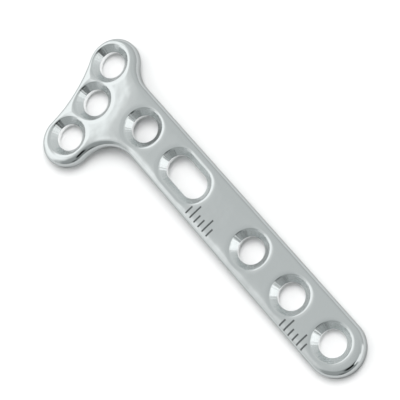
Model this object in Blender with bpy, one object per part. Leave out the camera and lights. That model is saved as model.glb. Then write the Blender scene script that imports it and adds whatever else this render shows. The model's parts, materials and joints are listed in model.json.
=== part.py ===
"""A T-shaped bone plate with an oblique head, for small-fragment screws.

It is one piece of polished implant steel. The blank is cut to its outline, its
edges are rounded, the screw holes are bored and countersunk from the top, and
then the head is bent down a little so that it follows the flare of the bone.
The plate lies as it would on a table: countersinks up, on its two head lobes
and the underside of its free end. X runs along the shaft to the free end.
"""

import math

import bmesh
import bpy
import numpy as np

# Driving sizes, in metres. Places along the shaft run from the last screw hole.
THICKNESS = 0.0022
END_WIDTH = 0.00975
NECK_WIDTH = 0.0094
LAST_HOLE_TO_END = 0.00563
TOP_EDGE_ROUND = 0.001
UNDER_EDGE_ROUND = 0.0004

# The shaft's holes: three at an even pitch, an oblong one and one at the neck.
HOLE_PITCH = 0.01015
SLOT_TO_THIRD_HOLE = 0.01675
SLOT_TO_NECK_HOLE = 0.01125
SLOT_TRAVEL = 0.0037

# A hole's section: a cone for the screw's head above a straight bore.
BORE_DIAMETER = 0.0046
MOUTH_DIAMETER = 0.00672
CONE_ANGLE = math.radians(90)
MOUTH_ROUND = 0.0003
BORE_EDGE_BREAK = 0.00015

# The head: a row of three holes, turned from square, with a round lobe at each end.
HEAD_TURN = math.radians(18)
NECK_HOLE_TO_MIDDLE_HOLE = 0.01
MIDDLE_HOLE_ASIDE = 0.00335
UPPER_HOLE_SPACING = 0.0068
LOWER_HOLE_SPACING = 0.0071
OUTER_HOLES_SET_BACK = 0.00096
LOBE_RADIUS = 0.00455
UPPER_LOBE_PAST_HOLE = 0.00019
UPPER_LOBE_TO_SHAFT = 0.00034
LOWER_LOBE_PAST_HOLE = 0.00061
LOWER_LOBE_TO_SHAFT = -0.00006
UPPER_NECK_FILLET = 0.006
LOWER_NECK_FILLET = 0.006
BACK_HOLLOW_RADIUS = 0.0243

# The bend, whose line is parallel to the row of head holes.
BEND_ANGLE = math.radians(7)
BEND_START_TO_MIDDLE_HOLE = 0.00845
BEND_LENGTH = 0.004

# How finely curves are stepped, and how far a cutter runs past the metal.
CHORD_ERROR = 0.000008
TOP_EDGE_STEPS = 5
UNDER_EDGE_STEPS = 3
MOUTH_STEPS = 3
HOLE_SIDES = 48
BEND_STEPS = 8
CUT_OVERRUN = 0.001


def spot(along, aside):
    """A place on the flat plate: along its shaft from the last hole, and to the side."""
    return np.array([along, aside])


def head_places():
    """Centres of the middle, upper and lower head holes and of the two lobes."""
    up_the_row = np.array([-math.sin(HEAD_TURN), math.cos(HEAD_TURN)])
    to_the_shaft = np.array([math.cos(HEAD_TURN), math.sin(HEAD_TURN)])
    neck_hole = -(2 * HOLE_PITCH + SLOT_TO_THIRD_HOLE + SLOT_TO_NECK_HOLE)
    middle = spot(neck_hole - NECK_HOLE_TO_MIDDLE_HOLE, -MIDDLE_HOLE_ASIDE)
    back = middle - to_the_shaft * OUTER_HOLES_SET_BACK
    upper = back + up_the_row * UPPER_HOLE_SPACING
    lower = back - up_the_row * LOWER_HOLE_SPACING
    upper_lobe = upper + up_the_row * UPPER_LOBE_PAST_HOLE + to_the_shaft * UPPER_LOBE_TO_SHAFT
    lower_lobe = lower - up_the_row * LOWER_LOBE_PAST_HOLE + to_the_shaft * LOWER_LOBE_TO_SHAFT
    return middle, upper, lower, upper_lobe, lower_lobe


def hole_places():
    """(centre, half the travel) of each hole, from the free end to the head."""
    third = -2 * HOLE_PITCH
    slot = third - SLOT_TO_THIRD_HOLE
    shaft = [(0.0, 0.0), (-HOLE_PITCH, 0.0), (third, 0.0), (slot, SLOT_TRAVEL / 2)]
    shaft.append((slot - SLOT_TO_NECK_HOLE, 0.0))
    holes = [(spot(distance, 0.0), travel) for distance, travel in shaft]
    return holes + [(centre, 0.0) for centre in head_places()[:3]]


def fillet_beside(lobe, reach):
    """Centre of a fillet at this height that touches the lobe on its shaft side."""
    gap = LOBE_RADIUS + abs(reach) - NECK_WIDTH / 2
    return spot(lobe[0] + math.sqrt(gap**2 - (reach - lobe[1]) ** 2), reach)


def hollow_behind(upper_lobe, lower_lobe):
    """Centre of the shallow hollow that touches both lobes from behind."""
    between = lower_lobe - upper_lobe
    half = np.linalg.norm(between) / 2
    reach = math.sqrt((LOBE_RADIUS + BACK_HOLLOW_RADIUS) ** 2 - half**2)
    backwards = np.array([between[1], -between[0]]) / (2 * half)
    return (upper_lobe + lower_lobe) / 2 + backwards * reach


def outline_circles():
    """The outline's arcs, anticlockwise: (centre, radius, 1 bulging or -1 hollow)."""
    upper_lobe, lower_lobe = head_places()[3:]
    end_radius = END_WIDTH / 2
    return [
        (spot(LAST_HOLE_TO_END - end_radius, 0.0), end_radius, 1),
        (fillet_beside(upper_lobe, NECK_WIDTH / 2 + UPPER_NECK_FILLET), UPPER_NECK_FILLET, -1),
        (upper_lobe, LOBE_RADIUS, 1),
        (hollow_behind(upper_lobe, lower_lobe), BACK_HOLLOW_RADIUS, -1),
        (lower_lobe, LOBE_RADIUS, 1),
        (fillet_beside(lower_lobe, -NECK_WIDTH / 2 - LOWER_NECK_FILLET), LOWER_NECK_FILLET, -1),
    ]


def outline(inset):
    """The outline moved inwards by inset. Straight runs join one arc to the next.

    A run that leaves one arc and meets the next has the same left-hand normal at
    both, so its angle follows from the two centres and the signed radii.
    """
    circles = outline_circles()
    leaving = []
    for (centre, radius, side), (later, other, turn) in zip(circles, circles[1:] + circles[:1]):
        between = later - centre
        shift = (turn * other - side * radius) / np.linalg.norm(between)
        leaving.append(math.atan2(between[1], between[0]) + math.acos(max(-1.0, min(1.0, shift))))
    points = []
    for index, (centre, radius, side) in enumerate(circles):
        start = leaving[index - 1]
        sweep = (side * (leaving[index] - start)) % math.tau
        steps = math.ceil(sweep / (2 * math.acos(1 - CHORD_ERROR / radius)))
        angles = start + side * np.linspace(0.0, sweep, steps + 1)
        offset = side * (radius - side * inset)
        normals = np.stack([np.cos(angles), np.sin(angles)], axis=1)
        points.append(centre - offset * normals)
    return np.concatenate(points)


def round_over(radius, steps):
    """(inset, depth) pairs down a quarter round, from the flat to the wall."""
    angles = np.linspace(0.0, math.pi / 2, steps + 1)
    return [(radius * (1 - math.sin(a)), radius * (1 - math.cos(a))) for a in angles]


def skin(mesh, rings):
    """Rings of points, bottom to top, joined by faces and capped at both ends."""
    rows = [[mesh.verts.new(point) for point in ring] for ring in rings]
    for lower, upper in zip(rows, rows[1:]):
        for k in range(len(lower)):
            mesh.faces.new((lower[k - 1], lower[k], upper[k], upper[k - 1]))
    mesh.faces.new(reversed(rows[0]))
    mesh.faces.new(rows[-1])


def new_object(name, fill):
    shape = bmesh.new()
    fill(shape)
    data = bpy.data.meshes.new(name)
    shape.to_mesh(data)
    shape.free()
    made = bpy.data.objects.new(name, data)
    bpy.context.scene.collection.objects.link(made)
    return made


def at_height(points, height):
    return [(x, y, height) for x, y in points]


def blank(shape):
    """The plate before its holes: its rounded section carried round the outline."""
    half = THICKNESS / 2
    under = [(inset, depth - half) for inset, depth in round_over(UNDER_EDGE_ROUND, UNDER_EDGE_STEPS)]
    over = [(inset, half - depth) for inset, depth in round_over(TOP_EDGE_ROUND, TOP_EDGE_STEPS)]
    skin(shape, [at_height(outline(inset), height) for inset, height in under + over[::-1]])


def stadium(centre, radius, half_travel):
    """A circle whose two halves stand apart along the shaft by the travel."""
    angles = math.tau * (np.arange(HOLE_SIDES) + 0.5) / HOLE_SIDES
    x = centre[0] + radius * np.cos(angles) + np.copysign(half_travel, np.cos(angles))
    return np.stack([x, centre[1] + radius * np.sin(angles)], axis=1)


def hole_section():
    """(radius, height) from under the plate to above it: bore, cone and rounded mouth."""
    top = THICKNESS / 2
    bore = BORE_DIAMETER / 2
    slope = CONE_ANGLE / 2
    cone_foot = top - (MOUTH_DIAMETER / 2 - bore) / math.tan(slope)
    section = [
        (bore + BORE_EDGE_BREAK + CUT_OVERRUN, -top - CUT_OVERRUN),
        (bore, -top + BORE_EDGE_BREAK),
        (bore, cone_foot),
    ]
    lean = math.pi / 2 - slope
    rim = MOUTH_DIAMETER / 2 + MOUTH_ROUND * math.tan(lean / 2)
    for a in np.linspace(lean, 0.0, MOUTH_STEPS + 1):
        section.append((rim - MOUTH_ROUND * math.sin(a), top - MOUTH_ROUND * (1 - math.cos(a))))
    section.append((rim, top + CUT_OVERRUN))
    return section


def cut_hole(plate, index, centre, half_travel):
    def fill(shape):
        skin(shape, [at_height(stadium(centre, r, half_travel), h) for r, h in hole_section()])

    cutter = new_object(f"hole_cutter_{index}", fill)
    cutter.hide_render = True
    cutter.display_type = "WIRE"
    cut = plate.modifiers.new(f"hole_{index}", "BOOLEAN")
    cut.operation = "DIFFERENCE"
    cut.solver = "EXACT"
    cut.object = cutter


def bend_line():
    """A point on the line where the bend starts, and the direction square to it."""
    outwards = np.array([-math.cos(HEAD_TURN), -math.sin(HEAD_TURN)])
    return head_places()[0] - outwards * BEND_START_TO_MIDDLE_HOLE, outwards


def bend_stations():
    """Distances past the bend's start with the middle surface's run, fall and slope there.

    The slope eases from flat to the bend's angle, and stays there over the head.
    """
    share = np.linspace(0.0, 1.0, BEND_STEPS + 1)
    distance = share * BEND_LENGTH
    slope = BEND_ANGLE * share**2 * (3 - 2 * share)
    middle = (slope[1:] + slope[:-1]) / 2
    step = np.diff(distance)
    run = np.concatenate([[0.0], np.cumsum(np.cos(middle) * step)])
    fall = np.concatenate([[0.0], np.cumsum(np.sin(middle) * step)])
    return distance, run, fall, slope


def bent(points):
    """Flat points carried through the bend, whose rulings stay straight."""
    start, outwards = bend_line()
    past = (points[:, :2] - start) @ outwards
    distance, run, fall, slope = bend_stations()
    over = np.maximum(past - BEND_LENGTH, 0.0)
    lean = np.interp(past, distance, np.sin(slope))
    level = np.interp(past, distance, np.cos(slope))
    reach = np.interp(past, distance, run) + over * math.cos(BEND_ANGLE) + points[:, 2] * lean
    moved = points.copy()
    moved[:, :2] += np.where(past > 0.0, reach - past, 0.0)[:, None] * outwards
    height = np.interp(past, distance, -fall) - over * math.sin(BEND_ANGLE) + points[:, 2] * level
    moved[:, 2] = np.where(past > 0.0, height, points[:, 2])
    return moved


def resting(points):
    """The plate tipped until the lower lobe and the free end touch one level, centred on it."""
    _, outwards = bend_line()
    lobe = head_places()[4] + outwards * (LOBE_RADIUS - UNDER_EDGE_ROUND)
    under_head = bent(np.array([[lobe[0], lobe[1], -THICKNESS / 2]]))[0]
    fall = -THICKNESS / 2 - under_head[2]
    tip = math.atan2(fall, LAST_HOLE_TO_END - UNDER_EDGE_ROUND - under_head[0])
    turned = points.copy()
    turned[:, 0] = points[:, 0] * math.cos(tip) + points[:, 2] * math.sin(tip)
    turned[:, 2] = points[:, 2] * math.cos(tip) - points[:, 0] * math.sin(tip)
    low = turned.min(axis=0)
    high = turned.max(axis=0)
    return turned - np.array([(low[0] + high[0]) / 2, (low[1] + high[1]) / 2, low[2]])


def bend_and_lay(plate):
    """Scores the drilled plate along the bend's rulings, so that it can fold, then bends it."""
    graph = bpy.context.evaluated_depsgraph_get()
    drilled = bpy.data.meshes.new_from_object(plate.evaluated_get(graph))
    plate.modifiers.clear()
    shape = bmesh.new()
    shape.from_mesh(drilled)
    start, outwards = bend_line()
    for distance in bend_stations()[0]:
        on_line = start + outwards * distance
        everything = shape.verts[:] + shape.edges[:] + shape.faces[:]
        bmesh.ops.bisect_plane(
            shape,
            geom=everything,
            dist=CHORD_ERROR,
            plane_co=(on_line[0], on_line[1], 0.0),
            plane_no=(outwards[0], outwards[1], 0.0),
        )
    bmesh.ops.triangulate(shape, faces=shape.faces[:])
    points = resting(bent(np.array([vertex.co for vertex in shape.verts])))
    for vertex, point in zip(shape.verts, points):
        vertex.co = point
    shape.to_mesh(drilled)
    shape.free()
    drilled.name = "bone_plate"
    plate.data = drilled


def polished_steel():
    """Bright mirror-polished implant steel."""
    made = bpy.data.materials.new("polished_steel")
    made.use_nodes = True
    shader = made.node_tree.nodes["Principled BSDF"]
    shader.inputs["Base Color"].default_value = (0.62, 0.64, 0.64, 1.0)
    shader.inputs["Metallic"].default_value = 1.0
    shader.inputs["Roughness"].default_value = 0.12
    return made


for old in list(bpy.data.objects):
    bpy.data.objects.remove(old, do_unlink=True)

plate = new_object("bone_plate", blank)
for index, (centre, half_travel) in enumerate(hole_places()):
    cut_hole(plate, index, centre, half_travel)
bend_and_lay(plate)
plate.data.materials.append(polished_steel())
plate.data.shade_smooth()
plate.data.set_sharp_from_angle(angle=math.radians(35))
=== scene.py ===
"""A polished T-shaped bone plate lying on a pale table, as a studio photograph shows it."""

import json
import math

import bpy
import numpy as np
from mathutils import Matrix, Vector
from mathutils.geometry import delaunay_2d_cdt

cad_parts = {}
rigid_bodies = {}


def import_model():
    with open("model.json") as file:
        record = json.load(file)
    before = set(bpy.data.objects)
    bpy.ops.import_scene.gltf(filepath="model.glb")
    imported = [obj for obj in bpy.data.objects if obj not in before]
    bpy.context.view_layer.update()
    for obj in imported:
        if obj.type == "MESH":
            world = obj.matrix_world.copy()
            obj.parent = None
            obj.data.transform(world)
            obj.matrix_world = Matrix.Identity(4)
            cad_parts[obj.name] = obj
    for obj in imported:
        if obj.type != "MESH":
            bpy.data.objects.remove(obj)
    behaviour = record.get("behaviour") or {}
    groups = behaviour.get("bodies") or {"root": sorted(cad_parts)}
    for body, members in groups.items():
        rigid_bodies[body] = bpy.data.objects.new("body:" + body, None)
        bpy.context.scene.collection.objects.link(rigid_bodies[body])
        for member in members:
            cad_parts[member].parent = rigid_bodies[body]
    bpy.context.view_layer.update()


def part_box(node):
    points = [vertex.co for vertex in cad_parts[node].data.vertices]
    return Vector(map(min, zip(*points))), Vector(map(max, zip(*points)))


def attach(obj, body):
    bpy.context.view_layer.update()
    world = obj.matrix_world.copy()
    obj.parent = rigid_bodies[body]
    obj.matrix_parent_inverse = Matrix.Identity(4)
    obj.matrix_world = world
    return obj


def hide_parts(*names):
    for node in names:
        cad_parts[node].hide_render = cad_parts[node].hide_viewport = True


for startup_object in list(bpy.data.objects):
    bpy.data.objects.remove(startup_object, do_unlink=True)
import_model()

# The blank. A strip of implant steel, cut to a T whose bar is turned 18 degrees: a round
# end, two round lobes, a fillet of 6 mm on each side of the neck and a shallow hollow
# behind. Sizes are in metres, and places run along the shaft from its last screw hole.
THICKNESS = 0.0022
END_WIDTH = 0.00975
NECK_WIDTH = 0.0094
LAST_HOLE_TO_END = 0.00563
LOBE_RADIUS = 0.00455
NECK_FILLET = 0.006
BACK_HOLLOW_RADIUS = 0.0243
HEAD_TURN = math.radians(18)
NECK_HOLE_AT = -0.0483
MIDDLE_HOLE = np.array([-0.0583, -0.00335])
OUTER_HOLES_SET_BACK = 0.00096
UPPER_HOLE_SPACING = 0.0068
LOWER_HOLE_SPACING = 0.0071
UPPER_LOBE_PAST_HOLE = 0.00019
UPPER_LOBE_TO_SHAFT = 0.00034
LOWER_LOBE_PAST_HOLE = 0.00061
LOWER_LOBE_FROM_SHAFT = 0.00006
up_the_row = np.array([-math.sin(HEAD_TURN), math.cos(HEAD_TURN)])
to_the_shaft = np.array([math.cos(HEAD_TURN), math.sin(HEAD_TURN)])
set_back = MIDDLE_HOLE - to_the_shaft * OUTER_HOLES_SET_BACK
upper_hole = set_back + up_the_row * UPPER_HOLE_SPACING
lower_hole = set_back - up_the_row * LOWER_HOLE_SPACING
upper_lobe = upper_hole + up_the_row * UPPER_LOBE_PAST_HOLE + to_the_shaft * UPPER_LOBE_TO_SHAFT
lower_lobe = lower_hole - up_the_row * LOWER_LOBE_PAST_HOLE - to_the_shaft * LOWER_LOBE_FROM_SHAFT


def neck_fillet(lobe, side):
    """Centre of the fillet that touches the shaft's side and the lobe, from their distances."""
    reach = side * (NECK_WIDTH / 2 + NECK_FILLET)
    along = math.sqrt((LOBE_RADIUS + NECK_FILLET) ** 2 - (reach - lobe[1]) ** 2)
    return np.array([lobe[0] + along, reach])


def back_hollow():
    """Centre of the hollow that touches both lobes: square behind the middle between them."""
    between = lower_lobe - upper_lobe
    half = np.linalg.norm(between) / 2
    reach = math.sqrt((LOBE_RADIUS + BACK_HOLLOW_RADIUS) ** 2 - half**2)
    return (upper_lobe + lower_lobe) / 2 + np.array([between[1], -between[0]]) / (2 * half) * reach


def tangent_arcs():
    """The outline anticlockwise as arcs (centre, radius, 1 out or -1 hollow, start, sweep).

    A straight run that leaves one arc and meets the next has one left-hand normal, whose
    angle is that of the line of centres plus the arc cosine of the signed radii's
    difference over their distance.
    """
    circles = [
        (np.array([LAST_HOLE_TO_END - END_WIDTH / 2, 0.0]), END_WIDTH / 2, 1),
        (neck_fillet(upper_lobe, 1), NECK_FILLET, -1),
        (upper_lobe, LOBE_RADIUS, 1),
        (back_hollow(), BACK_HOLLOW_RADIUS, -1),
        (lower_lobe, LOBE_RADIUS, 1),
        (neck_fillet(lower_lobe, -1), NECK_FILLET, -1),
    ]
    leaving = []
    for (centre, radius, side), (later, other, turn) in zip(circles, circles[1:] + circles[:1]):
        between = later - centre
        shift = np.clip((turn * other - side * radius) / np.linalg.norm(between), -1, 1)
        leaving.append(math.atan2(between[1], between[0]) + math.acos(shift))
    return [
        (centre, radius, side, leaving[k - 1], (side * (leaving[k] - leaving[k - 1])) % math.tau)
        for k, (centre, radius, side) in enumerate(circles)
    ]


ARCS = tangent_arcs()


def ring(inset, spacing):
    """The outline moved inwards, with as many points at every inset.

    On an arc a point is the centre less side x (radius - side x inset) x the normal; a
    straight run is shared out evenly between its ends.
    """
    runs = []
    for centre, radius, side, start, sweep in ARCS:
        angles = start + side * np.linspace(0, sweep, max(2, math.ceil(radius * sweep / spacing)))
        normals = np.stack([np.cos(angles), np.sin(angles)], axis=1)
        runs.append(centre - side * (radius - side * inset) * normals)
    joined = []
    for run, later in zip(runs, runs[1:] + runs[:1]):
        gaps = round(np.linalg.norm(later[0] - run[-1]) / spacing)
        share = np.linspace(0, 1, max(gaps, 1) + 1)[1:-1, None]
        joined += [run[:-1] if gaps == 0 else run, run[-1] * (1 - share) + later[0] * share]
    return np.concatenate(joined)


def inset_of(points):
    """How far inside the outline points lie: the least distance to its arcs and its runs.

    To an arc it is the distance from the centre less the radius, where the point's angle
    is within the sweep; to a run it is the distance to the nearest point between its ends.
    """
    no_run = 1e-18  # the least squared length, where one arc goes straight over into the next
    ends = []
    nearest = np.full(len(points), np.inf)
    for centre, radius, side, start, sweep in ARCS:
        away = points - centre
        angle = np.arctan2(-side * away[:, 1], -side * away[:, 0])
        within = (side * (angle - start)) % math.tau <= sweep
        gap = np.abs(np.hypot(away[:, 0], away[:, 1]) - radius)
        nearest = np.where(within, np.minimum(nearest, gap), nearest)
        edge = np.array([start, start + side * sweep])
        ends.append(centre - side * radius * np.stack([np.cos(edge), np.sin(edge)], axis=1))
    for (_, leave), (meet, _) in zip(ends, ends[1:] + ends[:1]):
        run = meet - leave
        share = np.clip((points - leave) @ run / max(run @ run, no_run), 0, 1)
        gap = np.linalg.norm(points - leave - share[:, None] * run, axis=1)
        nearest = np.minimum(nearest, gap)
    return nearest


# The screw holes. Seven round ones and an oblong one are bored through the blank and
# countersunk from the top for the screw heads; the mouth of each is rounded by polishing.
HOLE_PITCH = 0.01015
OBLONG_HOLE_AT = -0.03705
OBLONG_TRAVEL = 0.0037
BORE_RADIUS = 0.0023
BORE_EDGE_BREAK = 0.00015
CONE_MEETS_TOP = 0.00336
MOUTH_ROUND = 0.0003
MOUTH_ROLL_WIDTH = 0.0007
MOUTH_ROLL_SLOPE = math.atan(0.22)
hole_centres = np.array(
    [
        [0.0, 0.0],
        [-HOLE_PITCH, 0.0],
        [-2 * HOLE_PITCH, 0.0],
        [OBLONG_HOLE_AT, 0.0],
        [NECK_HOLE_AT, 0.0],
        MIDDLE_HOLE,
        upper_hole,
        lower_hole,
    ]
)
half_travels = np.array([0, 0, 0, OBLONG_TRAVEL / 2, 0, 0, 0, 0])
CONE_SLOPE = math.radians(45)
MOUTH_RIM = CONE_MEETS_TOP + MOUTH_ROUND * math.tan(CONE_SLOPE / 2)
CONE_RIM = MOUTH_RIM - MOUTH_ROUND * (math.sin(CONE_SLOPE) - math.sin(MOUTH_ROLL_SLOPE))
MOUTH_REACH = MOUTH_RIM + MOUTH_ROLL_WIDTH


def hole_ring(hole, radius, count):
    """A circle round a hole, whose two halves stand apart by the travel of an oblong one."""
    angles = math.tau * (np.arange(count) + 0.5) / count
    apart = np.copysign(half_travels[hole], np.cos(angles))
    x = hole_centres[hole, 0] + radius * np.cos(angles) + apart
    ring_points = np.stack([x, hole_centres[hole, 1] + radius * np.sin(angles)], axis=1)
    if half_travels[hole] == 0:
        return ring_points
    # the two straight sides, shared out evenly between the half circles
    side_steps = round(2 * half_travels[hole] / (math.tau * BORE_RADIUS / count))
    share = np.linspace(0, 1, side_steps + 1)[1:-1, None]
    quarter = count // 4
    upper = ring_points[quarter - 1] * (1 - share) + ring_points[quarter] * share
    lower = ring_points[3 * quarter - 1] * (1 - share) + ring_points[3 * quarter] * share
    parts = [ring_points[:quarter], upper, ring_points[quarter : 3 * quarter], lower]
    return np.concatenate([*parts, ring_points[3 * quarter :]])


def hole_distances(points):
    """Distance of every point from every hole's middle, or from an oblong one's middle line."""
    away = points[:, None, :] - hole_centres[None]
    along = np.maximum(np.abs(away[..., 0]) - half_travels, 0)
    return np.hypot(along, away[..., 1])


# The plate's skin. The top edge is rounded by grinding and then buffed, which lets the
# surface roll off softly towards the edge and the holes' mouths. It takes the place of
# the plain CAD plate: the sizes are the same, and only the buffing is added.
TOP_EDGE_ROUND = 0.001
UNDER_EDGE_ROUND = 0.0004
BUFFED_WIDTH = 0.0027
BUFFED_WIDTH_AT_HOLES_SHARE = 0.8
BUFFED_SLOPE = 0.105
HOLE_SPARES_BUFFING = 0.006
HOLE_LIMITS_BUFFING = 0.0038
EDGE_TILT_STARTS = 0.0017
EDGE_TILT_FULL = 0.001
EDGE_TILT = 0.055


def edge_drop(points, inset):
    """How far the top lies below its flat at an inset: a quarter round, a soft roll-off
    whose slope grows evenly outwards, wide where no hole is near, and beside the round a
    tilt that comes in over a short way and then stays."""
    into_round = np.clip(TOP_EDGE_ROUND - inset, 0, TOP_EDGE_ROUND)
    quarter_round = TOP_EDGE_ROUND - np.sqrt(TOP_EDGE_ROUND**2 - into_round**2)
    near = HOLE_SPARES_BUFFING - hole_distances(points).min(axis=1)
    near = np.clip(near / (HOLE_SPARES_BUFFING - HOLE_LIMITS_BUFFING), 0, 1)
    near = near**2 * (3 - 2 * near)
    width = BUFFED_WIDTH * (1 - (1 - BUFFED_WIDTH_AT_HOLES_SHARE) * near)
    roll_off = BUFFED_SLOPE * np.maximum(width - inset, 0) ** 2 / (2 * width)
    tilted = np.maximum(EDGE_TILT_STARTS - inset, 0) ** 2
    tilted -= np.maximum(EDGE_TILT_FULL - inset, 0) ** 2
    tilt_drop = EDGE_TILT * tilted / (2 * (EDGE_TILT_STARTS - EDGE_TILT_FULL))
    return quarter_round + roll_off + tilt_drop


def mouth_drop(distance):
    """The hole's section as a drop below the flat: a roll-off whose slope grows evenly, a
    quick round from that slope to the cone's, and the cone."""
    rolled = np.clip(MOUTH_REACH - distance, 0, MOUTH_ROLL_WIDTH)
    roll = math.tan(MOUTH_ROLL_SLOPE) * rolled**2 / (2 * MOUTH_ROLL_WIDTH)
    into_round = np.clip(MOUTH_RIM - distance, 0, MOUTH_RIM - CONE_RIM)
    sine = math.sin(MOUTH_ROLL_SLOPE) + into_round / MOUTH_ROUND
    rim = MOUTH_ROUND * (math.cos(MOUTH_ROLL_SLOPE) - np.sqrt(1 - sine**2))
    return roll + rim + np.maximum(CONE_RIM - distance, 0) * math.tan(CONE_SLOPE)


def top_height(points, inset):
    """Height of the top over the plate's middle: the edge's and the holes' drops, blended
    where they meet by the cube root of the sum of their cubes."""
    mouths = mouth_drop(hole_distances(points)).T
    drops = np.concatenate([edge_drop(points, inset)[None], mouths])
    return THICKNESS / 2 - np.cbrt((drops**3).sum(axis=0))


# The bend of the head, about a line parallel to its row of holes. The slope eases from
# flat to 7 degrees over 4 mm, and the plate rests on its lower lobe and its free end.
BEND_ANGLE = math.radians(7)
BEND_START_TO_MIDDLE_HOLE = 0.00845
BEND_LENGTH = 0.004
BEND_STEPS = 100
bend_start = MIDDLE_HOLE + to_the_shaft * BEND_START_TO_MIDDLE_HOLE
bend_share = np.linspace(0, 1, BEND_STEPS + 1)
bend_slope = BEND_ANGLE * bend_share**2 * (3 - 2 * bend_share)
bend_step = BEND_LENGTH / BEND_STEPS
step_slope = (bend_slope[1:] + bend_slope[:-1]) / 2
bend_run = np.concatenate([[0.0], np.cumsum(np.cos(step_slope)) * bend_step])
bend_fall = np.concatenate([[0.0], np.cumsum(np.sin(step_slope)) * bend_step])


def bent(points):
    """Flat points carried through the bend: along the middle surface by its run and fall,
    and off it along its normal."""
    past = (bend_start - points[:, :2]) @ to_the_shaft
    share = past / BEND_LENGTH
    over = np.maximum(past - BEND_LENGTH, 0)
    slope = np.interp(share, bend_share, bend_slope)
    reach = np.interp(share, bend_share, bend_run) + over * math.cos(BEND_ANGLE)
    reach += points[:, 2] * np.sin(slope)
    fall = np.interp(share, bend_share, bend_fall) + over * math.sin(BEND_ANGLE)
    moved = points.copy()
    moved[:, :2] -= np.where(past > 0, reach - past, 0)[:, None] * to_the_shaft
    moved[:, 2] = np.where(past > 0, points[:, 2] * np.cos(slope) - fall, points[:, 2])
    return moved


def resting(points):
    """Bent points tipped about Y until the lower lobe and the free end touch one level,
    and moved to where the CAD plate lies."""
    lobe = lower_lobe - to_the_shaft * (LOBE_RADIUS - UNDER_EDGE_ROUND)
    under_lobe = bent(np.array([[lobe[0], lobe[1], -THICKNESS / 2]]))[0]
    rise = -THICKNESS / 2 - under_lobe[2]
    tip = math.atan2(rise, LAST_HOLE_TO_END - UNDER_EDGE_ROUND - under_lobe[0])
    turned = points.copy()
    turned[:, 0] = points[:, 0] * math.cos(tip) + points[:, 2] * math.sin(tip)
    turned[:, 2] = points[:, 2] * math.cos(tip) - points[:, 0] * math.sin(tip)
    low, high = (np.array(corner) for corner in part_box("bone_plate"))
    middle = (turned.min(axis=0) + turned.max(axis=0)) / 2
    shift = (low + high) / 2 - middle
    shift[2] = low[2] - turned[:, 2].min()
    return turned + shift


# The skin as one closed mesh: the flats are filled between closed rings, whose points the
# side wall and the bores share. Near the outline and the mouths the points follow them.
SPACING = 0.0002
HOLE_POINTS = 128
ROUND_STEPS = 7
UNDER_STEPS = 6
SIDE_SHARES = (1 / 3, 2 / 3)
EDGE_BREAK_TURNS = np.radians([30, 60])
SEAM_TILT = math.radians(45)
TOP_RING_TILTS = np.radians([38, 31, 24, 17, 10, 4])
CONE_RINGS = 4
ROUND_RINGS = 7
ROLL_RINGS = 6
TOP_LATTICE = 0.0003
UNDER_LATTICE = 0.0006
UNDER_GAP = 0.0002
EDGE_ZONE = 0.001
ZONE_GAP = 0.0001
SEAM_GAP = 0.00004
RIM_ZONE = MOUTH_RIM + SEAM_GAP
TICK_CLEARANCE = 0.00005
POINTS_AT_ONCE = 4000
FILL_SCALE = 1000
FILL_MARGIN = 1e-7


def band(rings, first):
    """Quads between rings that follow each other, each ring a closed row of equal count."""
    count = len(rings[0])
    rows = first + np.arange(len(rings))[:, None] * count + np.arange(count)[None]
    onward = np.roll(rows, -1, axis=1)
    faces = np.stack([rows[:-1], onward[:-1], onward[1:], rows[1:]], axis=-1)
    return faces.reshape(-1, 4)


def hexagonal_lattice(step):
    """Points in staggered rows over the plate's whole plan."""
    low, high = ring(0.0, SPACING).min(axis=0), ring(0.0, SPACING).max(axis=0)
    columns = np.arange(low[0], high[0], step)
    rows = np.arange(low[1], high[1], step * math.sqrt(3) / 2)
    x, y = np.meshgrid(columns, rows)
    x[1::2] += step / 2
    return np.stack([x.ravel(), y.ravel()], axis=1)


def inside(points, loop):
    """Whether points lie in a closed loop: an odd number of its edges pass to their right."""
    later = np.roll(loop, -1, axis=0)
    found = np.zeros(len(points), bool)
    for part in np.array_split(np.arange(len(points)), max(1, len(points) // POINTS_AT_ONCE)):
        x, y = points[part, 0, None], points[part, 1, None]
        crosses = (loop[:, 1] > y) != (later[:, 1] > y)
        with np.errstate(divide="ignore", invalid="ignore"):
            share = (y - loop[:, 1]) / (later[:, 1] - loop[:, 1])
            at = loop[:, 0] + share * (later[:, 0] - loop[:, 0])
        found[part] = (crosses & (at > x)).sum(axis=1) % 2 == 1
    return found


def filled(outer, holes, loose, marks):
    """Triangles over the flat between an outer loop and hole loops, through loose points.

    The loops' points come first in the result, in the order given, so that the walls
    can share them, and then the loose points, which begin with the marks' loops. The
    filling is done in millimetres, as its margin for equal points is an absolute one.
    """
    loops = [outer, *holes, *marks]
    starts = np.cumsum([0] + [len(loop) for loop in loops])
    edges = []
    for start, loop in zip(starts, loops):
        order = np.arange(len(loop))
        edges.append(start + np.stack([order, (order + 1) % len(loop)], axis=1))
    edges = np.concatenate(edges)
    points = np.concatenate([outer, *holes, loose])
    made = delaunay_2d_cdt(points * FILL_SCALE, edges.tolist(), [], 0, FILL_MARGIN)
    source = np.array([sources[0] for sources in made[3]])
    assert len(source) == len(points), "the loops share a point or cross"
    triangles = source[np.array(made[2])]
    middles = points[triangles].mean(axis=1)
    keep = inside(middles, outer)
    for hole in holes:
        keep &= ~inside(middles, hole)
    return points, triangles[keep]


# Two rows of laser-etched ticks, like a ruler's, beside the oblong hole and the last one.
# The laser darkens the skin without depth, so they are faces of the top.
TICK_WIDTH = 0.0003
TICK_PITCH = 0.00105
TICKS = 6
LONG_EVERY = 3
SHORT_SHARE = 0.6


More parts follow.
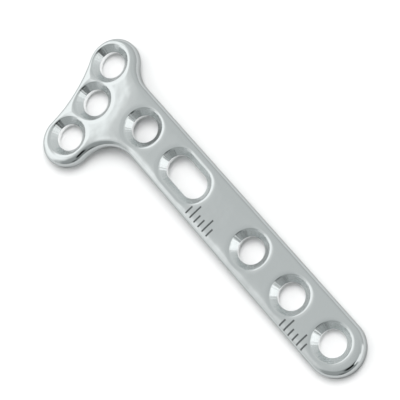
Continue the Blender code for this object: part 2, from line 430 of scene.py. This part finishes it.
def tick_row(first_x, foot_y, length):
    """Outlines of a row of ticks across the shaft: every third is long, the others shorter."""
    loops = []
    for k in range(TICKS):
        x = first_x + k * TICK_PITCH
        tall = length if k % LONG_EVERY == 1 else SHORT_SHARE * length
        up = foot_y + np.linspace(0, tall, math.ceil(tall / SPACING) + 1)
        right_side = np.column_stack([np.full(len(up), x + TICK_WIDTH / 2), up])
        left_side = np.column_stack([np.full(len(up), x - TICK_WIDTH / 2), up[::-1]])
        loops.append(np.concatenate([right_side, left_side]))
    return loops


tick_loops = tick_row(first_x=-0.0322, foot_y=-0.0039, length=0.0026)
tick_loops += tick_row(first_x=-0.0077, foot_y=-0.0044, length=0.0024)


def top_points(seam_inset):
    """Loose points of the top: rings along the outline, rings round the holes, and between
    them a lattice. Each has its own zone, by the distances to the holes and the outline."""
    insets = TOP_EDGE_ROUND * (1 - np.sin(TOP_RING_TILTS))
    along = np.concatenate([ring(inset, SPACING) for inset in insets])
    along = along[hole_distances(along).min(axis=1) > MOUTH_RIM + ZONE_GAP]
    cone = np.linspace(BORE_RADIUS, CONE_RIM, CONE_RINGS + 2)[1:-1]
    round_mouth = np.linspace(CONE_RIM, MOUTH_RIM, ROUND_RINGS)
    rolled = np.linspace(MOUTH_RIM, MOUTH_REACH, ROLL_RINGS + 1)[1:]
    around = []
    for hole in range(len(hole_centres)):
        for radius in (*cone, *round_mouth, *rolled):
            found = hole_ring(hole, radius, HOLE_POINTS)
            spare = EDGE_ZONE + ZONE_GAP if radius > RIM_ZONE else 0
            own = hole_distances(found).argmin(axis=1) == hole
            around.append(found[own & (inset_of(found) > spare)])
    around = np.concatenate(around)
    around = around[inset_of(around) > seam_inset + SEAM_GAP]
    lattice = hexagonal_lattice(TOP_LATTICE)
    lattice = lattice[inside(lattice, ring(seam_inset, SPACING))]
    clear = inset_of(lattice) > EDGE_ZONE + ZONE_GAP
    clear &= hole_distances(lattice).min(axis=1) > MOUTH_REACH + ZONE_GAP
    loose = np.concatenate([along, around, lattice[clear]])
    near_tick = np.zeros(len(loose), bool)
    for loop in tick_loops:
        out_of = np.maximum(loop.min(axis=0) - loose, loose - loop.max(axis=0)).max(axis=1)
        near_tick |= np.abs(out_of) < TICK_CLEARANCE
    return loose[~near_tick]


def with_height(points, height):
    """Flat points with a height, one for all or one for each."""
    return np.column_stack([points, np.broadcast_to(height, len(points))])


def plate_mesh():
    """The closed skin, flat, as lists of points and of faces: the top, the underside, the
    side wall, and a bore for each hole. The wall goes up the quarter round below, straight
    up, and in over the top round as far as the seam."""
    half = THICKNESS / 2
    seam_inset = TOP_EDGE_ROUND * (1 - math.sin(SEAM_TILT))
    outer, under = ring(seam_inset, SPACING), ring(UNDER_EDGE_ROUND, SPACING)
    holes = range(len(hole_centres))
    bores = [hole_ring(hole, BORE_RADIUS, HOLE_POINTS) for hole in holes]
    feet = [hole_ring(hole, BORE_RADIUS + BORE_EDGE_BREAK, HOLE_POINTS) for hole in holes]

    loose = np.concatenate([*tick_loops, top_points(seam_inset)])
    seam_points, top_faces = filled(outer, bores, loose, tick_loops)
    depth = np.full(len(seam_points), seam_inset)
    depth[len(outer) :] = inset_of(seam_points[len(outer) :])
    top = with_height(seam_points, top_height(seam_points, depth))
    lattice = hexagonal_lattice(UNDER_LATTICE)
    clear = inside(lattice, under) & (inset_of(lattice) > UNDER_EDGE_ROUND + UNDER_GAP)
    foot_reach = BORE_RADIUS + BORE_EDGE_BREAK
    clear &= hole_distances(lattice).min(axis=1) > foot_reach + UNDER_GAP
    low_points, low_faces = filled(under, feet, lattice[clear], [])
    bottom = with_height(low_points, -half)

    wall = []
    for t in np.linspace(0, math.pi / 2, UNDER_STEPS + 1):
        loop = ring(UNDER_EDGE_ROUND * (1 - math.sin(t)), SPACING)
        wall.append(with_height(loop, UNDER_EDGE_ROUND * (1 - math.cos(t)) - half))
    side = ring(0.0, SPACING)
    foot_of_wall = UNDER_EDGE_ROUND - half
    top_of_wall = top_height(side, np.zeros(len(side)))
    for share in SIDE_SHARES:
        wall.append(with_height(side, foot_of_wall * (1 - share) + top_of_wall * share))
    for t in np.linspace(math.pi / 2, SEAM_TILT, ROUND_STEPS + 1):
        inset = TOP_EDGE_ROUND * (1 - math.sin(t))
        loop = ring(inset, SPACING)
        wall.append(with_height(loop, top_height(loop, np.full(len(loop), inset))))

    parts = [top, bottom, np.concatenate(wall)]
    wall_start = len(top) + len(bottom)
    faces = [top_faces, low_faces[:, ::-1] + len(top), band(wall, wall_start)]
    for bore, foot in zip(bores, feet):
        upper = with_height(bore, top_height(bore, inset_of(bore)))
        low = np.column_stack([bore, np.full(len(bore), BORE_EDGE_BREAK - half)])
        rings = [upper, upper * 0.5 + low * 0.5, low]
        for turn in EDGE_BREAK_TURNS:
            share = 1 - math.cos(turn)
            rim = bore * (1 - share) + foot * share
            rings.append(with_height(rim, BORE_EDGE_BREAK * (1 - math.sin(turn)) - half))
        rings.append(with_height(foot, -half))
        faces.append(band(rings, sum(len(part) for part in parts)))
        parts.append(np.concatenate(rings))
    return parts, faces


# The seams are closed by merging points at the same place, and the flat skin is bent. Its
# distances from the outline and from the holes go with it, for the finishes.
POINTS_MERGE = 1e-8
SHARP_FROM = math.radians(35)
HOLES_APART = 3.0
parts, faces = plate_mesh()
points = np.concatenate(parts)
whole = np.round(points / POINTS_MERGE).astype(np.int64)
_, kept, shared = np.unique(whole, axis=0, return_index=True, return_inverse=True)
shared = shared.ravel()
flat_points = points[kept]
face_lists = [shared[face] for part in faces for face in part]
middles = points[faces[0]].mean(axis=1)[:, :2]
etched = np.zeros(len(middles), bool)
for loop in tick_loops:
    etched |= inside(middles, loop)
bore_count = sum(len(part) for part in faces[3:])
slots = np.zeros(len(face_lists), np.int32)
slots[: len(middles)] = etched
slots[len(slots) - bore_count :] = 2

plate_data = bpy.data.meshes.new("polished_plate")
plate_data.from_pydata(resting(bent(flat_points)).tolist(), [], [f.tolist() for f in face_lists])
plate_data.validate(verbose=True)
plate_data.polygons.foreach_set("use_smooth", np.ones(len(plate_data.polygons), bool))
plate_data.polygons.foreach_set("material_index", slots)
plate_data.set_sharp_from_angle(angle=SHARP_FROM)
plan = flat_points[:, :2]
nearest_hole = hole_distances(plan).argmin(axis=1)
travel = half_travels[nearest_hole]
away = plan - hole_centres[nearest_hole]
away[:, 0] -= np.clip(away[:, 0], -travel, travel)
away /= np.linalg.norm(away, axis=1)[:, None]
direction = np.column_stack([away, HOLES_APART * nearest_hole])
from_axis = plate_data.attributes.new("from_hole_axis", "FLOAT", "POINT")
from_axis.data.foreach_set("value", hole_distances(plan).min(axis=1).astype(np.float32))
from_outline = plate_data.attributes.new("from_outline", "FLOAT", "POINT")
from_outline.data.foreach_set("value", inset_of(plan).astype(np.float32))
from_direction = plate_data.attributes.new("from_hole_direction", "FLOAT_VECTOR", "POINT")
from_direction.data.foreach_set("vector", direction.ravel().astype(np.float32))
plate = bpy.data.objects.new("polished_plate", plate_data)
bpy.context.scene.collection.objects.link(plate)


def add_node(tree, kind, inputs=(), **settings):
    """Adds a node with its settings, and sets or links its inputs. A Mix node's go by number:
    0 is the share, 2 and 3 are its two numbers, and 6 and 7 its two colours."""
    made = tree.nodes.new(kind)
    for name, value in settings.items():
        setattr(made, name, value)
    for socket, value in dict(inputs).items():
        if isinstance(value, bpy.types.NodeSocket):
            tree.links.new(value, made.inputs[socket])
        else:
            made.inputs[socket].default_value = value
    return made


# Mirror-polished implant steel: a faint greenish grey, not quite even from the buffing wheel.
# The cones are turned, so they are less smooth and show the marks of the tool; their colour is
# painted lighter, a painted brighter reflection.
# The side wall and the outer edge of the top are painted darker: a painted shade on what they
# reflect.
BUFFED_COLOUR = (0.557, 0.589, 0.589, 1)
# painted light: the cones' colour is lighter than the buffed steel's, for brighter reflections
TURNED_PAINTED_LIGHTER = (0.67, 0.705, 0.705, 1)
# painted shade: a darker steel colour along the outline, which dims its reflections
SIDE_PAINTED_SHADE = (0.46, 0.483, 0.483, 1)
BUFFED_ROUGHNESS = 0.07
TURNED_ROUGHNESS = 0.25
CONE_FADES_OVER = 0.00015
SIDE_SHADE_REACHES_IN = 0.0001
SIDE_SHADE_FADES_OVER = 0.0005
GRAZING_TINT = (0.6, 0.6, 0.6, 1)
OXIDE_DARK = (0.055, 0.065, 0.065, 1)
OXIDE_PALE = (0.12, 0.13, 0.13, 1)
# painted light: the bores near white, so that they show as bright as the table through the holes
BORE_PAINTED_BRIGHT = (0.98, 0.99, 0.99, 1)


def share_near(tree, distance_name, full_until, ends):
    """1 up to a distance that the mesh's points carry, and falling to 0 at a larger one."""
    distance = add_node(tree, "ShaderNodeAttribute", attribute_name=distance_name).outputs["Fac"]
    limits = {"From Min": full_until, "From Max": ends, "To Min": 1.0, "To Max": 0.0}
    return add_node(tree, "ShaderNodeMapRange", {"Value": distance, **limits}).outputs[0]


def polished_steel():
    """Buffed faces, turned cones painted lighter and the thin side painted darker, told apart by
    the distances.
    """
    made = bpy.data.materials.new("polished_steel")
    made.use_nodes = True
    tree = made.node_tree
    shader = tree.nodes["Principled BSDF"]
    shader.inputs["Metallic"].default_value = 1.0
    shader.inputs["Specular Tint"].default_value = GRAZING_TINT
    # the cones' share: turned roughness and a painted lighter colour
    turned = share_near(tree, "from_hole_axis", CONE_RIM - CONE_FADES_OVER, MOUTH_RIM)
    # the side's share: where the painted shade darkens the steel
    side_shade_ends = SIDE_SHADE_REACHES_IN + SIDE_SHADE_FADES_OVER
    side = share_near(tree, "from_outline", SIDE_SHADE_REACHES_IN, side_shade_ends)
    colour = BUFFED_COLOUR
    for share, other in ((turned, TURNED_PAINTED_LIGHTER), (side, SIDE_PAINTED_SHADE)):
        mix = add_node(tree, "ShaderNodeMix", {0: share, 6: colour, 7: other}, data_type="RGBA")
        colour = mix.outputs[2]
    tree.links.new(colour, shader.inputs["Base Color"])
    roughness = add_node(
        tree,
        "ShaderNodeMapRange",
        {"Value": turned, "To Min": BUFFED_ROUGHNESS, "To Max": TURNED_ROUGHNESS},
    )
    tree.links.new(roughness.outputs[0], shader.inputs["Roughness"])

    # the tool's marks run straight down the cone: noise over the direction from the axis
    around = add_node(tree, "ShaderNodeAttribute", attribute_name="from_hole_direction")
    chatter = add_node(
        tree,
        "ShaderNodeTexNoise",
        {"Vector": around.outputs["Vector"], "Scale": 6.0, "Detail": 2.0},
    ).outputs[0]
    depth = add_node(tree, "ShaderNodeMath", {0: chatter, 1: turned}, operation="MULTIPLY")
    marks = add_node(
        tree,
        "ShaderNodeBump",
        {"Height": depth.outputs[0], "Strength": 0.4, "Distance": 0.00018},
    )
    # the wheel leaves shallow waves, about 4 mm long
    place = add_node(tree, "ShaderNodeTexCoord").outputs["Object"]
    waves = add_node(tree, "ShaderNodeTexNoise", {"Vector": place, "Scale": 260.0, "Detail": 2.0})
    waved = add_node(
        tree,
        "ShaderNodeBump",
        {
            "Height": waves.outputs[0],
            "Strength": 1.0,
            "Distance": 0.00006,
            "Normal": marks.outputs[0],
        },
    )
    tree.links.new(waved.outputs[0], shader.inputs["Normal"])
    return made


def laser_mark():
    """The thin matt grey oxide that a laser leaves, a little uneven from spot to spot."""
    made = bpy.data.materials.new("laser_mark")
    made.use_nodes = True
    tree = made.node_tree
    shader = tree.nodes["Principled BSDF"]
    shader.inputs["Metallic"].default_value = 0.2
    shader.inputs["Roughness"].default_value = 0.5
    place = add_node(tree, "ShaderNodeTexCoord").outputs["Object"]
    spots = add_node(tree, "ShaderNodeTexNoise", {"Vector": place, "Scale": 9000.0}).outputs[0]
    oxide = add_node(
        tree,
        "ShaderNodeMix",
        {0: spots, 6: OXIDE_DARK, 7: OXIDE_PALE},
        data_type="RGBA",
    ).outputs[2]
    tree.links.new(oxide, shader.inputs["Base Color"])
    return made


def reamed_steel_painted_bright():
    """The reamed bores: fine rings one above the other, and painted bright, a painted reflection
    as white as the table.
    """
    made = bpy.data.materials.new("reamed_steel_painted_bright")
    made.use_nodes = True
    tree = made.node_tree
    shader = tree.nodes["Principled BSDF"]
    # a painted bright reflection: near-white steel in the bores
    shader.inputs["Base Color"].default_value = BORE_PAINTED_BRIGHT
    shader.inputs["Metallic"].default_value = 1.0
    place = add_node(tree, "ShaderNodeTexCoord").outputs["Object"]
    upright = add_node(tree, "ShaderNodeMapping", {"Vector": place, "Scale": (0, 0, 1)}).outputs[0]
    rings = add_node(tree, "ShaderNodeTexNoise", {"Vector": upright, "Scale": 12000.0}).outputs[0]
    roughness = add_node(
        tree, "ShaderNodeMapRange", {"Value": rings, "To Min": 0.08, "To Max": 0.22}
    )
    tree.links.new(roughness.outputs[0], shader.inputs["Roughness"])
    return made


plate_data.materials.append(polished_steel())
plate_data.materials.append(laser_mark())
plate_data.materials.append(reamed_steel_painted_bright())
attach(plate, "root")
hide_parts("bone_plate")

# The table: a wide white sheet, matt, on which the plate lies and drops its shadow. It isn't
# part of the object.
TABLE_HALF = 3.0
TABLE_WHITE = (0.94, 0.94, 0.94, 1)
table_data = bpy.data.meshes.new("table_top")
corners = np.array([[-1, -1, 0], [1, -1, 0], [1, 1, 0], [-1, 1, 0]]) * TABLE_HALF
table_data.from_pydata(corners.tolist(), [], [(0, 1, 2, 3)])
table = bpy.data.objects.new("table_top", table_data)
bpy.context.scene.collection.objects.link(table)
table_white = bpy.data.materials.new("table_white")
table_white.use_nodes = True
table_shader = table_white.node_tree.nodes["Principled BSDF"]
table_shader.inputs["Base Color"].default_value = TABLE_WHITE
table_shader.inputs["Roughness"].default_value = 0.9
table_shader.inputs["Specular IOR Level"].default_value = 0.0
table_data.materials.append(table_white)

# The studio: pale grey all round, with soft bright panels to the left and to the right and
# a dim side in front. The plate is a mirror, so its edges and cones show these. Angles are
# in degrees, from straight up and anticlockwise from the picture's right.
PHOTO_TURN = math.radians(50.15)
STUDIO_LEVEL = 0.82
DIM_TINT = (0.93, 1.0, 1.0, 1)
BRIGHT_TINT = (1, 1, 1, 1)
LEAST_AHEAD = 0.02


def towards(zenith_angle, azimuth):
    """The unit vector at an angle from straight up, and at an azimuth from picture right."""
    tilt, turn = math.radians(zenith_angle), math.radians(azimuth) + PHOTO_TURN
    flat = math.sin(tilt)
    return np.array([flat * math.cos(turn), flat * math.sin(turn), math.cos(tilt)])


def dot_product(tree, direction, axis):
    """How far a direction goes along an axis."""
    node = add_node(
        tree, "ShaderNodeVectorMath", {0: direction, 1: axis}, operation="DOT_PRODUCT"
    )
    return node.outputs["Value"]


def panel_mask(tree, direction, zenith_angle, azimuth, width, height, roll, softness):
    """1 inside a panel and 0 outside it: the direction is projected on the plane square to
    the panel's centre, and each coordinate is compared with half the panel's size."""
    centre = towards(zenith_angle, azimuth)
    straight_up = towards(zenith_angle - 90, azimuth)
    level_aside = np.cross(straight_up, centre)
    turn = math.radians(roll)
    up = straight_up * math.cos(turn) - level_aside * math.sin(turn)
    aside = level_aside * math.cos(turn) + straight_up * math.sin(turn)
    ahead = dot_product(tree, direction, centre)
    mask = add_node(tree, "ShaderNodeMath", {0: ahead, 1: LEAST_AHEAD}, operation="GREATER_THAN")
    mask = mask.outputs[0]
    for axis, size in ((aside, width), (up, height)):
        along = dot_product(tree, direction, axis)
        flat = add_node(tree, "ShaderNodeMath", {0: along, 1: ahead}, operation="DIVIDE")
        reach = add_node(tree, "ShaderNodeMath", {0: flat.outputs[0]}, operation="ABSOLUTE")
        half = math.tan(math.radians(size / 2))
        soft = add_node(
            tree,
            "ShaderNodeMapRange",
            {
                "Value": reach.outputs[0],
                "From Min": half - softness,
                "From Max": half + softness,
                "To Min": 1.0,
                "To Max": 0.0,
            },
            interpolation_type="SMOOTHSTEP",
        ).outputs[0]
        mask = add_node(tree, "ShaderNodeMath", {0: mask, 1: soft}, operation="MULTIPLY")
        mask = mask.outputs[0]
    return mask


world = bpy.data.worlds.new("studio")
bpy.context.scene.world = world
world.use_nodes = True
sky = world.node_tree
sky.nodes.clear()
outward = add_node(sky, "ShaderNodeTexCoord").outputs["Generated"]
level = STUDIO_LEVEL
panels = [
    # zenith angle, azimuth, width, height, roll, softness, level; a later one covers those
    # before it
    (30, 310, 66, 60, 0, 0.4, 0.7),
    (80, 50, 100, 60, 0, 0.5, 0.77),
    (55, 262, 74, 72, 0, 0.2, 0.48),
    (68, 300, 36, 26, 0, 0.12, 0.37),
    (76, 274, 15, 20, 0, 0.1, 0.18),
    (43, 296, 25, 27, 0, 0.1, 0.0),
    (40, 165, 64, 34, 0, 0.16, 0.97),
    (60, 178, 29, 62, 26.6, 0.14, 1.46),
    (62.5, 144, 52, 48, 0, 0.09, 1.54),
    (79, 347, 44, 42, 0, 0.07, 1.45),
    (52, 328, 26, 14, 0, 0.05, 1.45),
]
for *place_and_size, panel_level in panels:
    mask = panel_mask(sky, outward, *place_and_size)
    mix = add_node(sky, "ShaderNodeMix", {0: mask, 2: level, 3: panel_level}, data_type="FLOAT")
    level = mix.outputs[0]
tint = add_node(
    sky, "ShaderNodeMix", {0: level, 6: DIM_TINT, 7: BRIGHT_TINT}, data_type="RGBA"
).outputs[2]
light = add_node(sky, "ShaderNodeBackground", {"Color": tint, "Strength": level})
add_node(sky, "ShaderNodeOutputWorld", {"Surface": light.outputs[0]})

# The key light: a round softbox above and behind, which gives the shadow its side. It isn't
# seen in the steel.
KEY_AWAY = 0.6
key_data = bpy.data.lights.new("key_softbox", "AREA")
key_data.shape = "DISK"
key_data.size = 0.42
key_data.energy = 1.7
key = bpy.data.objects.new("key_softbox", key_data)
bpy.context.scene.collection.objects.link(key)
key_direction = Vector(towards(zenith_angle=27, azimuth=64))
key.location = key_direction * KEY_AWAY
key.rotation_mode = "QUATERNION"
key.rotation_quaternion = key_direction.to_track_quat("Z", "Y")
key.visible_glossy = False

# The camera: a long lens from above the free end, at the photograph's viewing angle. Its
# place and turn were fitted to the rims of the holes.
camera_data = bpy.data.cameras.new("camera")
camera_data.sensor_width = 36
camera_data.lens = 181.836
camera_data.clip_start = 0.01
camera = bpy.data.objects.new("camera", camera_data)
camera.location = (0.12306192, 0.03293767, 0.29997220)
camera_turn = (13.77062, 19.13715, 50.15433)
camera.rotation_euler = tuple(math.radians(angle) for angle in camera_turn)
bpy.context.scene.collection.objects.link(camera)
bpy.context.scene.camera = camera
bpy.context.scene.view_settings.view_transform = "Standard"
